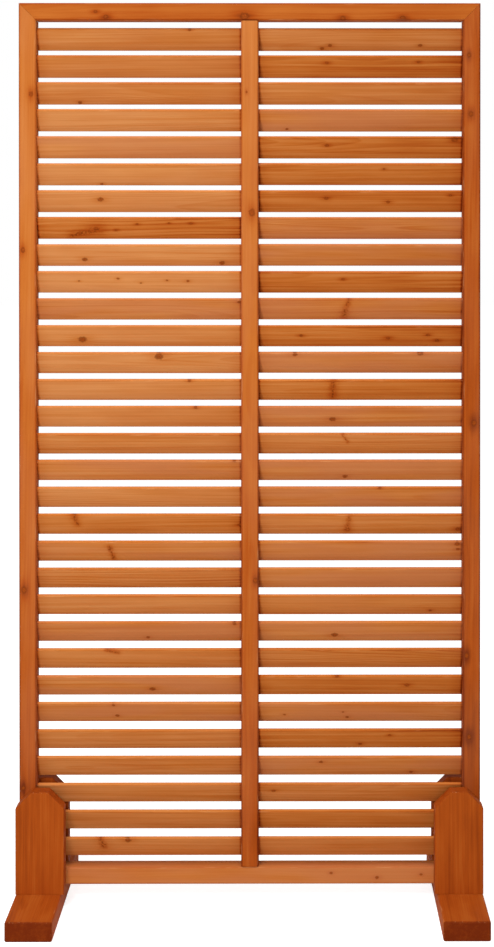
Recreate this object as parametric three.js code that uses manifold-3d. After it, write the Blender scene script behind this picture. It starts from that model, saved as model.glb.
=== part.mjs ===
// A free-standing garden privacy screen of stained softwood. Tilted, fixed slats run between
// the stiles and the centre mullion of a mitred frame. Short posts in front of and behind each
// stile clamp the frame and stand on a foot beam.
// Millimetres. X runs across the panel, -Y is the front, Z is up. The origin lies on the
// ground, midway between the feet and midway along them.
import * as THREE from 'three';
import { mergeVertices } from 'three/addons/utils/BufferGeometryUtils.js';
import Module from 'manifold-3d';

// ---- Driving dimensions ----

// Panel frame: two stiles, two rails and a centre mullion of one section depth.
const PANEL_WIDTH = 900;
const PANEL_HEIGHT = 1720;
const PANEL_DEPTH = 45;
const PANEL_LIFT = 46; // underside of the bottom rail above the ground
const PANEL_FORWARD = 28; // the panel stands this far in front of the middle of the feet
const STILE_FACE = 34;
const RAIL_FACE = 34;
const MULLION_FACE = 34;
const FRAME_EDGE_RADIUS = 4;

// Slats
const SLAT_COUNT = 31;
const SLAT_WIDTH = 48;
const SLAT_THICKNESS = 8;
const SLAT_EDGE_RADIUS = 2;
const SLAT_TILT = THREE.MathUtils.degToRad(57); // from the horizontal, top edge forward
const SLAT_END_GAP = 14; // from a rail to the nearest slat
const SLAT_HOUSING = 10; // how deep a slat's end sits in a stile or in the mullion
const TENON_WIDTH = 20; // the tongue that joins a row's slats through the mullion
const TENON_THICKNESS = 4;
const TENON_BITE = 5;

// Stand: front and rear posts on two foot beams.
const POST_WIDTH = 94;
const POST_THICKNESS = 38;
const POST_CHAMFER = 31; // both top corners, at 45 degrees
const POST_EDGE_RADIUS = 2.5;
const FRONT_POST_HEIGHT = 198;
const REAR_POST_HEIGHT = 205;
const POST_OVERHANG = 3; // the posts and feet stand this far outside the panel's sides
const FOOT_WIDTH = 89;
const FOOT_HEIGHT = 38;
const FOOT_LENGTH = 500;
const FOOT_EDGE_RADIUS = 4;
const FOOT_END_BEVEL = 2;

// Countersunk wood screws
const SCREW_RADIUS = 2.5;
const SCREW_HEAD_RADIUS = 5;
const SCREW_HEAD_DEPTH = 3.5;
const SCREW_TIP = 7;
const SCREW_RECESS = 0.5; // head below the surface of the wood
const CORNER_SCREW_LENGTH = 60;
const CLAMP_SCREW_BITE = 13; // into the front post
const CLAMP_SCREW_EDGE = 20; // clear of the bottom rail below and of the post's chamfer above
const FOOT_SCREW_BITE = 42; // into a post's end grain
const FOOT_SCREW_SPACING = 30;

// Clearances and mesh fineness
const FIT_GAP = 0.3; // between pieces that touch
const CUT_MARGIN = 5; // how far a cutting shape runs past the surface that it cuts
const ARC_SEGMENTS = 2; // per quarter turn on the timber's long edges
const SCREW_SEGMENTS = 12;

// ---- Values worked out from them ----

const SIDES = [
  { side: 'left', sign: -1 },
  { side: 'right', sign: 1 },
];
const PANEL_Y = -PANEL_FORWARD;
const stileX = PANEL_WIDTH / 2 - STILE_FACE / 2;
const openingHalfWidth = PANEL_WIDTH / 2 - STILE_FACE;
const openingHeight = PANEL_HEIGHT - 2 * RAIL_FACE;
const slatTurn = Math.PI - SLAT_TILT; // carries a slat's width from +Y up and to the front

// A rounded slat edge falls short of its square corner by this much, upwards and downwards.
const slatCornerLoss = SLAT_EDGE_RADIUS * (Math.sin(SLAT_TILT) + Math.cos(SLAT_TILT) - 1);
const slatRise =
  SLAT_WIDTH * Math.sin(SLAT_TILT) + SLAT_THICKNESS * Math.cos(SLAT_TILT) - 2 * slatCornerLoss;
const slatPitch = (openingHeight - 2 * SLAT_END_GAP - slatRise) / (SLAT_COUNT - 1);
const topSlatZ = PANEL_HEIGHT - RAIL_FACE - SLAT_END_GAP - slatRise / 2;
const slatHeights = Array.from({ length: SLAT_COUNT }, (_, row) => topSlatZ - row * slatPitch);

const postX = PANEL_WIDTH / 2 + POST_OVERHANG - POST_WIDTH / 2;
const footX = PANEL_WIDTH / 2 + POST_OVERHANG - FOOT_WIDTH / 2;
const postOffset = PANEL_DEPTH / 2 + FIT_GAP + POST_THICKNESS / 2;
const postBottom = FOOT_HEIGHT + FIT_GAP;

// ---- Shapes ----

// A rectangle with round corners, centred on the origin of the XY plane.
function roundedRectangle(width, height, radius) {
  const x = width / 2 - radius;
  const y = height / 2 - radius;
  const quarter = Math.PI / 2;
  const shape = new THREE.Shape();
  shape.absarc(x, y, radius, 0, quarter);
  shape.absarc(-x, y, radius, quarter, 2 * quarter);
  shape.absarc(-x, -y, radius, 2 * quarter, 3 * quarter);
  shape.absarc(x, -y, radius, 3 * quarter, 4 * quarter);
  shape.closePath();
  return shape;
}

function polygon(points) {
  return new THREE.Shape(points.map(([x, y]) => new THREE.Vector2(x, y)));
}

// A planed bar with eased long edges, centred on the origin, along Z.
function timberBar(width, depth, length, radius) {
  const bar = new THREE.ExtrudeGeometry(roundedRectangle(width, depth, radius), {
    depth: length,
    bevelEnabled: false,
    curveSegments: ARC_SEGMENTS,
  });
  return bar.translate(0, 0, -length / 2);
}

// A flat board whose face, given in X and Z, looks along Y. All of its edges are eased.
function easedBoard(outline, thickness, radius) {
  const board = new THREE.ExtrudeGeometry(outline, {
    depth: thickness - 2 * radius,
    bevelThickness: radius,
    bevelSize: radius,
    bevelOffset: -radius,
    bevelSegments: ARC_SEGMENTS,
  });
  return board.translate(0, 0, radius - thickness / 2).rotateX(Math.PI / 2);
}

// A prism with its outline in X and Z, running the panel's whole depth with a margin.
function depthPrism(outline) {
  const depth = PANEL_DEPTH + 2 * CUT_MARGIN;
  const prism = new THREE.ExtrudeGeometry(outline, { depth, bevelEnabled: false });
  return prism.translate(0, 0, -depth / 2).rotateX(Math.PI / 2);
}

// ---- Joining and cutting ----

const wasm = await Module();
wasm.setup();

function solidOf(geometry) {
  const bare = new THREE.BufferGeometry();
  const source = geometry.index ? geometry.toNonIndexed() : geometry;
  bare.setAttribute('position', source.getAttribute('position').clone());
  const merged = mergeVertices(bare, 1e-4);
  return new wasm.Manifold(
    new wasm.Mesh({
      numProp: 3,
      vertProperties: merged.getAttribute('position').array,
      triVerts: new Uint32Array(merged.index.array),
    }),
  );
}

function geometryOf(solid) {
  const { vertProperties, triVerts } = solid.getMesh();
  const geometry = new THREE.BufferGeometry();
  geometry.setAttribute('position', new THREE.BufferAttribute(vertProperties, 3));
  geometry.setIndex(new THREE.BufferAttribute(triVerts, 1));
  return geometry;
}

function subtractAll(solid, cutters) {
  return cutters.reduce((left, cutter) => left.subtract(solidOf(cutter)), solid);
}

// ---- Finishes ----

const finishes = {
  frame: { color: 0xb9672c, roughness: 0.5, metalness: 0 },
  slat: { color: 0xbe7038, roughness: 0.5, metalness: 0 },
  stand: { color: 0xa84c1a, roughness: 0.45, metalness: 0 },
  screw: { color: 0x9a9a98, roughness: 0.35, metalness: 1 },
};

function namedMesh(name, geometry, finish) {
  const material = new THREE.MeshStandardMaterial({ ...finish, flatShading: true });
  const mesh = new THREE.Mesh(geometry, material);
  mesh.name = name;
  return mesh;
}

// ---- Screws ----

// The screw's outline turned about Z, its head's flat face at the origin and its tip below.
// A positive growth gives the hole that it sits in, which also opens up through the surface.
function screwShape(length, growth) {
  const mouth = growth > 0 ? CUT_MARGIN : 0;
  const profile = [
    new THREE.Vector2(0, -length - growth),
    new THREE.Vector2(SCREW_RADIUS + growth, SCREW_TIP - length - growth),
    new THREE.Vector2(SCREW_RADIUS + growth, -SCREW_HEAD_DEPTH - growth),
    new THREE.Vector2(SCREW_HEAD_RADIUS + growth, -growth),
  ];
  if (mouth > 0) profile.push(new THREE.Vector2(SCREW_HEAD_RADIUS + growth, mouth));
  profile.push(new THREE.Vector2(0, mouth));
  return new THREE.LatheGeometry(profile, SCREW_SEGMENTS).rotateX(Math.PI / 2);
}

// Where each screw's head lies on the surface of the wood, and which way its tip points.
const screws = [];
const vector = (x, y, z) => new THREE.Vector3(x, y, z);

function addScrew(name, surface, inward, length) {
  const head = surface.clone().addScaledVector(inward, SCREW_RECESS);
  const turn = new THREE.Quaternion().setFromUnitVectors(vector(0, 0, -1), inward);
  screws.push({ name, head, turn, length });
}

const railEnds = [
  { end: 'bottom', railZ: PANEL_LIFT + RAIL_FACE / 2, outward: -1 },
  { end: 'top', railZ: PANEL_LIFT + PANEL_HEIGHT - RAIL_FACE / 2, outward: 1 },
];
for (const { end, railZ, outward } of railEnds) {
  // Through each stile's outer side into the rail's end, across the mitre.
  for (const { side, sign } of SIDES) {
    const surface = vector((sign * PANEL_WIDTH) / 2, PANEL_Y, railZ);
    addScrew(`${end}_${side}_corner_screw`, surface, vector(-sign, 0, 0), CORNER_SCREW_LENGTH);
  }
  // Through the rail into the mullion's end grain, stopping level with the nearest slat.
  const surface = vector(0, PANEL_Y, railZ + (outward * RAIL_FACE) / 2);
  const length = RAIL_FACE + SLAT_END_GAP - SCREW_RECESS;
  addScrew(`${end}_mullion_screw`, surface, vector(0, 0, -outward), length);
}

const clampScrewHeights = [
  { level: 'lower', z: PANEL_LIFT + RAIL_FACE + CLAMP_SCREW_EDGE },
  { level: 'upper', z: postBottom + FRONT_POST_HEIGHT - POST_CHAMFER - CLAMP_SCREW_EDGE },
];
const clampScrewLength = POST_THICKNESS + PANEL_DEPTH + 2 * FIT_GAP + CLAMP_SCREW_BITE;
const footScrewLength = FOOT_HEIGHT + FIT_GAP + FOOT_SCREW_BITE;
for (const { side, sign } of SIDES) {
  // From behind, through the rear post and the stile into the front post.
  for (const { level, z } of clampScrewHeights) {
    const surface = vector(sign * stileX, PANEL_Y + postOffset + POST_THICKNESS / 2, z);
    addScrew(`${side}_${level}_clamp_screw`, surface, vector(0, -1, 0), clampScrewLength);
  }
  // From below, through the foot into the end grain of both posts.
  for (const [row, y] of [['front', PANEL_Y - postOffset], ['rear', PANEL_Y + postOffset]]) {
    for (const [place, step] of [['outer', 1], ['inner', -1]]) {
      const surface = vector(sign * (footX + (step * FOOT_SCREW_SPACING) / 2), y, 0);
      addScrew(`${side}_${row}_${place}_foot_screw`, surface, vector(0, 0, 1), footScrewLength);
    }
  }
}

// The holes of all the screws, as cutting shapes about a piece's own origin.
function screwHolesAround(origin) {
  return screws.map(({ head, turn, length }) => {
    const hole = screwShape(length, FIT_GAP).applyQuaternion(turn);
    return hole.translate(head.x - origin.x, head.y - origin.y, head.z - origin.z);
  });
}

// ---- Panel frame ----

const screen = new THREE.Group();
const panel = new THREE.Group();
panel.position.set(0, PANEL_Y, PANEL_LIFT);
const stand = new THREE.Group();
screen.add(panel, stand);

// Adds a wooden piece to a group at a place, with every screw hole that reaches it.
function addTimber(group, name, solid, place, finish) {
  const drilled = subtractAll(solid, screwHolesAround(place.clone().add(group.position)));
  const mesh = namedMesh(name, geometryOf(drilled), finish);
  mesh.position.copy(place);
  group.add(mesh);
}

// A cutting shape for each slat, about the middle of the panel's height at one X.
function slatSlots(width, thickness, length, x) {
  return slatHeights.map((z) => {
    const slot = new THREE.BoxGeometry(length, width + 2 * FIT_GAP, thickness + 2 * FIT_GAP);
    return slot.rotateX(slatTurn).translate(x, 0, z - PANEL_HEIGHT / 2);
  });
}

// Half the gap of a mitre, measured along the member.
function mitreRetreat(across, along) {
  return ((FIT_GAP / 2) * Math.hypot(across, along)) / across;
}

// A stile, mitred at both ends, with an angled housing for each slat in its inner face.
function addStile(side, sign) {
  const drop = RAIL_FACE / STILE_FACE; // the mitre's fall towards the opening
  const mitreZ = PANEL_HEIGHT / 2 - mitreRetreat(STILE_FACE, RAIL_FACE);
  const edgeX = STILE_FACE / 2 + CUT_MARGIN;
  const outerZ = mitreZ + drop * CUT_MARGIN;
  const innerZ = mitreZ - RAIL_FACE - drop * CUT_MARGIN;
  const outline = polygon([
    [-sign * edgeX, -innerZ],
    [-sign * edgeX, innerZ],
    [sign * edgeX, outerZ],
    [sign * edgeX, -outerZ],
  ]);
  const bar = timberBar(STILE_FACE, PANEL_DEPTH, PANEL_HEIGHT, FRAME_EDGE_RADIUS);
  const mitred = solidOf(bar).intersect(solidOf(depthPrism(outline)));
  const innerFaceX = (-sign * STILE_FACE) / 2;
  const housings = slatSlots(SLAT_WIDTH, SLAT_THICKNESS, 2 * SLAT_HOUSING, innerFaceX);
  const place = vector(sign * stileX, 0, PANEL_HEIGHT / 2);
  addTimber(panel, `${side}_stile`, subtractAll(mitred, housings), place, finishes.frame);
}

// A rail, mitred at both ends.
function addRail(end, outward) {
  const run = STILE_FACE / RAIL_FACE; // the mitre's run along the rail
  const mitreX = PANEL_WIDTH / 2 - mitreRetreat(RAIL_FACE, STILE_FACE);
  const edgeZ = RAIL_FACE / 2 + CUT_MARGIN;
  const outerX = mitreX + run * CUT_MARGIN;
  const innerX = mitreX - STILE_FACE - run * CUT_MARGIN;
  const outline = polygon([
    [-outerX, outward * edgeZ],
    [-innerX, -outward * edgeZ],
    [innerX, -outward * edgeZ],
    [outerX, outward * edgeZ],
  ]);
  const bar = timberBar(RAIL_FACE, PANEL_DEPTH, PANEL_WIDTH, FRAME_EDGE_RADIUS);
  const mitred = solidOf(bar.rotateY(Math.PI / 2)).intersect(solidOf(depthPrism(outline)));
  const place = vector(0, 0, PANEL_HEIGHT / 2 + (outward * (PANEL_HEIGHT - RAIL_FACE)) / 2);
  addTimber(panel, `${end}_rail`, mitred, place, finishes.frame);
}

// The mullion, butted between the rails, with housings on both sides and, between them,
// a narrow mortise through the web for the tongue of each slat row.
function addMullion() {
  const length = openingHeight - 2 * FIT_GAP;
  const bar = timberBar(MULLION_FACE, PANEL_DEPTH, length, FRAME_EDGE_RADIUS);
  const mortises = slatSlots(TENON_WIDTH, TENON_THICKNESS, MULLION_FACE, 0);
  const housings = SIDES.flatMap(({ sign }) =>
    slatSlots(SLAT_WIDTH, SLAT_THICKNESS, 2 * SLAT_HOUSING, (sign * MULLION_FACE) / 2),
  );
  const mullion = subtractAll(solidOf(bar), [...mortises, ...housings]);
  addTimber(panel, 'centre_mullion', mullion, vector(0, 0, PANEL_HEIGHT / 2), finishes.frame);
}

SIDES.forEach(({ side, sign }) => addStile(side, sign));
railEnds.forEach(({ end, outward }) => addRail(end, outward));
addMullion();

// ---- Slats ----

// A left and a right slat, flat in XY, joined by the tongue through the mullion.
function slatRow() {
  const innerX = MULLION_FACE / 2 - SLAT_HOUSING + FIT_GAP;
  const outerX = openingHalfWidth + SLAT_HOUSING - FIT_GAP;
  const length = outerX - innerX;
  const tongueLength = 2 * (innerX + TENON_BITE);
  const tongue = solidOf(new THREE.BoxGeometry(tongueLength, TENON_WIDTH, TENON_THICKNESS));
  return SIDES.reduce((row, { sign }) => {
    const slat = timberBar(SLAT_THICKNESS, SLAT_WIDTH, length, SLAT_EDGE_RADIUS);
    slat.rotateY(Math.PI / 2).translate((sign * (innerX + outerX)) / 2, 0, 0);
    return row.add(solidOf(slat));
  }, tongue);
}

slatHeights.forEach((z, index) => {
  const name = `slat_row_${String(index + 1).padStart(2, '0')}`;
  const mesh = namedMesh(name, geometryOf(slatRow()), finishes.slat);
  mesh.position.set(0, 0, z);
  mesh.rotation.x = slatTurn;
  panel.add(mesh);
});

// ---- Stand ----

// A board with both top corners cut off, its lower end at the origin.
function postBoard(height) {
  const x = POST_WIDTH / 2;
  const outline = polygon([
    [-x, 0],
    [x, 0],
    [x, height - POST_CHAMFER],
    [x - POST_CHAMFER, height],
    [POST_CHAMFER - x, height],
    [-x, height - POST_CHAMFER],
  ]);
  return easedBoard(outline, POST_THICKNESS, POST_EDGE_RADIUS);
}

// A beam with eased edges and ends, centred on the origin, along Y.
function footBeam() {
  const section = roundedRectangle(FOOT_WIDTH, FOOT_HEIGHT, FOOT_EDGE_RADIUS);
  const beam = new THREE.ExtrudeGeometry(section, {
    depth: FOOT_LENGTH - 2 * FOOT_END_BEVEL,
    bevelThickness: FOOT_END_BEVEL,
    bevelSize: FOOT_END_BEVEL,
    bevelOffset: -FOOT_END_BEVEL,
    bevelSegments: 1,
    curveSegments: ARC_SEGMENTS,
  });
  return beam.translate(0, 0, FOOT_END_BEVEL - FOOT_LENGTH / 2).rotateX(Math.PI / 2);
}

const postRows = [
  { row: 'front', y: PANEL_Y - postOffset, height: FRONT_POST_HEIGHT },
  { row: 'rear', y: PANEL_Y + postOffset, height: REAR_POST_HEIGHT },
];
for (const { side, sign } of SIDES) {
  for (const { row, y, height } of postRows) {
    const place = vector(sign * postX, y, postBottom);
    addTimber(stand, `${side}_${row}_post`, solidOf(postBoard(height)), place, finishes.stand);
  }
  const place = vector(sign * footX, 0, FOOT_HEIGHT / 2);
  addTimber(stand, `${side}_foot`, solidOf(footBeam()), place, finishes.stand);
}

for (const { name, head, turn, length } of screws) {
  const mesh = namedMesh(name, screwShape(length, 0), finishes.screw);
  mesh.position.copy(head);
  mesh.quaternion.copy(turn);
  screen.add(mesh);
}

export default screen;
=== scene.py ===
"""Garden privacy screen: the visible timber, slats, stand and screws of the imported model.

Metres. X runs across the panel, -Y is the front, Z is up. Every piece is modelled where the
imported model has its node, takes that node's place, and rides on the same body.
"""

import math
import random

import bmesh
import bpy
import numpy as np
from bpy.props import FloatProperty, FloatVectorProperty, IntProperty, PointerProperty
from bpy.types import Operator, Panel, PropertyGroup
from mathutils import Euler, Matrix, Vector


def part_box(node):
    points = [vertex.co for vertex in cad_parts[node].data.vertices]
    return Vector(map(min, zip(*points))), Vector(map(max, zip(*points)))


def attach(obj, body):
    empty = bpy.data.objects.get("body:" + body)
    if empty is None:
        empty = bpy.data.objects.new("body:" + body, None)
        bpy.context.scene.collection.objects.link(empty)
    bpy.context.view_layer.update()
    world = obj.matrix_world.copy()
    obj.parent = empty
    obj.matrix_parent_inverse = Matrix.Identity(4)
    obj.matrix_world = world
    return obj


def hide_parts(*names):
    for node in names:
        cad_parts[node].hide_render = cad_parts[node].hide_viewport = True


bl_info = {
    "name": "Garden privacy screen",
    "version": (1, 0, 0),
    "blender": (4, 5, 0),
    "location": "3D View > Sidebar > Screen",
    "description": "Builds a louvred timber privacy screen on its stand, with a plain studio",
    "category": "Object",
}

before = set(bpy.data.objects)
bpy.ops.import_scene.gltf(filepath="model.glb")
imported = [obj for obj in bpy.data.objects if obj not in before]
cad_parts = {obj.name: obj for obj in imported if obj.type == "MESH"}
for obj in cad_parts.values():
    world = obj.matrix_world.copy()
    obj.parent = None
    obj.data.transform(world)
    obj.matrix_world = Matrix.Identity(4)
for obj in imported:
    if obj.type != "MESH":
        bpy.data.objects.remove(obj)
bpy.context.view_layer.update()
SENSOR = 36  # mm, along the picture's longer side
BODY = "root"
SMOOTH_ANGLE = math.radians(40)
SIDES = (("left", -1), ("right", 1))
SLAT_ROWS = sorted(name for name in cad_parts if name.startswith("slat_row_"))
SCREWS = sorted(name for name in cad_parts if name.endswith("_screw"))
ACROSS_PANEL = Vector((1, 0, 0))
UP = Vector((0, 0, 1))
FORWARD = Vector((0, -1, 0))
SLAT_HOUSING = 0.0097  # how deep a slat's end sits in a stile or in the mullion
HOUSING_REACH = 0.01  # how deep a housing is cut
HOUSING_GAP = 0.0003  # around a slat in its housing, besides its play

# Countersunk screws
SCREW_HEAD_RIM = 0.0006
SCREW_HEAD_DEPTH = 0.0035
SCREW_RADIUS = 0.0025
THREAD_RADIUS = 0.0024
TIP_LENGTH = 0.007
TIP_RADIUS = 0.0002
SINK_GAP = 0.00025  # between a screw and its hole
SINK_RISE = 0.006  # how far the hole's cutting shape stands out of the wood
CROSS_ARM = (0.0052, 0.0009, 0.0044)  # length, width and twice the depth
CROSS_TAPER = 0.35

AT_LEVEL = 1e-4  # a corner closer than this to a level is at it

PANEL_LOW, PANEL_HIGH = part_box("left_stile")
PANEL_MIDDLE_Y = (PANEL_LOW.y + PANEL_HIGH.y) / 2


# ---- Settings ----


def length_setting(name, description, default, low, high):
    """A length in metres."""
    return FloatProperty(
        name=name,
        description=description,
        default=default,
        min=low,
        max=high,
        subtype="DISTANCE",
        unit="LENGTH",
    )


def angle_setting(name, description, degrees, low, high):
    """An angle, given in degrees and kept in radians."""
    return FloatProperty(
        name=name,
        description=description,
        default=math.radians(degrees),
        min=math.radians(low),
        max=math.radians(high),
        subtype="ANGLE",
        unit="ROTATION",
    )


def colour_setting(name, description, default):
    """A colour in linear light."""
    return FloatVectorProperty(
        name=name,
        description=description,
        default=default,
        size=3,
        min=0.0,
        max=1.0,
        subtype="COLOR",
    )


def power_setting(name, description, watts):
    """A lamp's power in watts."""
    return FloatProperty(
        name=name, description=description, default=watts, min=0.0, unit="POWER"
    )


class ScreenSizes(PropertyGroup):
    """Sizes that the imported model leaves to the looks."""

    frame_edge: length_setting(
        "Frame edge radius",
        "Rounding of the long edges of the stiles, rails and mullion",
        0.004,
        0.0005,
        0.008,
    )
    slat_width: length_setting("Slat width", "Width of a slat's face", 0.048, 0.03, 0.06)
    slat_thickness: length_setting(
        "Slat thickness", "Thickness of a slat", 0.008, 0.004, 0.012
    )
    slat_edge: length_setting(
        "Slat edge radius", "Rounding of a slat's long edges", 0.002, 0.0005, 0.0035
    )
    slat_tilt: angle_setting(
        "Slat tilt", "Angle of a slat from the horizontal, its top edge forward", 57, 20, 90
    )
    slat_play: length_setting(
        "Slat play",
        "How far a slat may sit from its true place in its housing",
        0.0004,
        0.0,
        0.001,
    )
    post_chamfer: length_setting(
        "Post chamfer", "How much of each top corner is cut from a post", 0.031, 0.01, 0.04
    )
    post_edge: length_setting(
        "Post edge radius", "Rounding of a post's edges", 0.0025, 0.0005, 0.005
    )
    foot_edge: length_setting(
        "Foot edge radius", "Rounding of a foot beam's edges", 0.004, 0.0005, 0.008
    )
    screw_head: length_setting(
        "Screw head radius", "Radius of a countersunk screw's head", 0.005, 0.003, 0.006
    )
    edge_segments: IntProperty(
        name="Edge segments",
        description="Faces across each rounded edge",
        default=4,
        min=2,
        max=8,
    )


class ScreenColours(PropertyGroup):
    """Stains, knots and metal."""

    stain_pale: colour_setting(
        "Pale stain", "Wood that took least stain", (0.700, 0.292, 0.092)
    )
    stain_honey: colour_setting(
        "Honey stain", "The usual tone of the slats and frame", (0.620, 0.216, 0.051)
    )
    stain_amber: colour_setting(
        "Amber stain", "Darker, more saturated boards", (0.532, 0.149, 0.022)
    )
    stain_russet: colour_setting(
        "Russet stain", "The posts, the feet and latewood lines", (0.405, 0.074, 0.006)
    )
    stain_deep: colour_setting(
        "Deep stain", "End grain, which drinks most stain", (0.170, 0.021, 0.002)
    )
    rose_cast: colour_setting(
        "Rose cast", "Tint of the boards that look pinkish", (0.550, 0.192, 0.080)
    )
    knot_heart: colour_setting("Knot heart", "Middle of a knot", (0.215, 0.040, 0.003))
    knot_rim: colour_setting("Knot rim", "Dark bark line around a knot", (0.095, 0.016, 0.001))
    worn_edge: colour_setting(
        "Worn edge", "Thin stain along handled edges", (0.730, 0.360, 0.150)
    )
    zinc: colour_setting("Zinc", "Plating of the screws", (0.56, 0.56, 0.53))
    floor: colour_setting("Floor", "Paper floor of the studio", (0.80, 0.80, 0.80))


class StudioSettings(PropertyGroup):
    """Camera and lamps."""

    camera_place: FloatVectorProperty(
        name="Camera place",
        description="Where the camera stands",
        default=(0.0806, -4.1993, 1.3410),
        size=3,
        subtype="TRANSLATION",
        unit="LENGTH",
    )
    camera_pitch: angle_setting(
        "Camera pitch", "How far the camera looks down", 0.4192, -90, 90
    )
    camera_yaw: angle_setting(
        "Camera yaw", "How far the camera turns to the right", 0.2939, -180, 180
    )
    lens: FloatProperty(
        name="Lens",
        description="Focal length for a sensor 36 mm along the picture's longer side, in mm",
        default=80.93,
    )
    shift: FloatVectorProperty(
        name="Lens shift",
        description="Sideways and upward shift, as shares of the picture's longer side",
        default=(-0.0581, -0.25),
        size=2,
    )
    key_power: power_setting("Key light", "Power of the near lamp on the left", 28.2)
    fill_power: power_setting("Fill light", "Power of the far lamp near the camera", 24.0)
    top_power: power_setting("Top light", "Power of the wide lamp overhead", 104.0)
    ambient: FloatProperty(
        name="Ambient light",
        description="Strength of the pale surroundings",
        default=0.30,
        min=0.0,
    )


# ---- Modelling helpers ----


def deselect():
    """Leaves nothing selected, so that an operator acts on the new piece alone."""
    bpy.ops.object.select_all(action="DESELECT")


def make_active(piece):
    """Selects one piece and makes it the active one."""
    deselect()
    piece.select_set(True)
    bpy.context.view_layer.objects.active = piece


def apply_place(piece):
    """Moves a piece's place into its mesh."""
    make_active(piece)
    bpy.ops.object.transform_apply(location=True, rotation=True, scale=True)


def add_block(name, low, high):
    """A block between two corners, its place in its mesh."""
    deselect()
    middle = (Vector(low) + Vector(high)) / 2
    bpy.ops.mesh.primitive_cube_add(size=1, location=middle)
    block = bpy.context.active_object
    block.name = name
    block.data.name = name
    block.scale = Vector(high) - Vector(low)
    apply_place(block)
    return block


def start_editing(piece, kind):
    """Opens a piece in edit mode with nothing selected, to pick edges or faces."""
    make_active(piece)
    bpy.ops.object.mode_set(mode="EDIT")
    bpy.ops.mesh.select_mode(type=kind)
    bpy.ops.mesh.select_all(action="DESELECT")
    return bmesh.from_edit_mesh(piece.data)


def edit_underside(piece):
    """Opens a piece in edit mode with its downward faces selected."""
    shape = start_editing(piece, "FACE")
    for side in shape.faces:
        side.select_set(side.normal.z < -0.9)
    bmesh.update_edit_mesh(piece.data)


def round_edges(piece, radius, segments, wanted):
    """Bevels the edges of a piece whose ends pass a test."""
    shape = start_editing(piece, "EDGE")
    for edge in shape.edges:
        first, second = (corner.co for corner in edge.verts)
        edge.select_set(wanted(first, second))
    bmesh.update_edit_mesh(piece.data)
    bpy.ops.mesh.bevel(offset=radius, segments=segments, profile=0.5, affect="EDGES")
    bpy.ops.object.mode_set(mode="OBJECT")


def runs_along(direction):
    """A test for edges parallel to a direction."""
    axis = Vector(direction).normalized()

    def test(first, second):
        return abs((second - first).normalized().dot(axis)) > 0.99

    return test


def cut_end(piece, place, outward):
    """Cuts a piece off along a plane, and closes the cut."""
    make_active(piece)
    bpy.ops.object.mode_set(mode="EDIT")
    bpy.ops.mesh.select_all(action="SELECT")
    bpy.ops.mesh.bisect(
        plane_co=place, plane_no=outward, use_fill=True, clear_outer=True, threshold=1e-6
    )
    bpy.ops.object.mode_set(mode="OBJECT")


def apply_modifier(piece, kind, **settings):
    """Adds a modifier, sets it and applies it."""
    make_active(piece)
    modifier = piece.modifiers.new(kind.title(), kind)
    for key, value in settings.items():
        setattr(modifier, key, value)
    bpy.ops.object.modifier_apply(modifier=modifier.name)


def cut_away(piece, cutter):
    """Takes a cutting shape out of a piece, and removes the cutting shape."""
    apply_modifier(piece, "BOOLEAN", object=cutter, operation="DIFFERENCE", solver="EXACT")
    bpy.data.objects.remove(cutter)


def smooth(piece):
    """Smooth rounded edges between flat faces."""
    make_active(piece)
    bpy.ops.object.shade_smooth_by_angle(angle=SMOOTH_ANGLE)
    apply_modifier(piece, "WEIGHTED_NORMAL", mode="FACE_AREA", keep_sharp=True)


def place_copy(master, name, matrix):
    """A copy of a modelled shape with its own mesh, placed by a matrix."""
    piece = master.copy()
    piece.data = master.data.copy()
    piece.name = name
    piece.data.name = name
    bpy.context.scene.collection.objects.link(piece)
    piece.data.transform(matrix)
    return piece


def turned_to(direction):
    """The turn that carries +Z to a direction."""
    return Vector((0, 0, 1)).rotation_difference(Vector(direction)).to_matrix().to_4x4()


# ---- Timber ----

# The picture that the camera is set for, in pixels. Knots are placed by where it shows them.
PICTURE_WIDTH = 494
PICTURE_HEIGHT = 947

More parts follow.
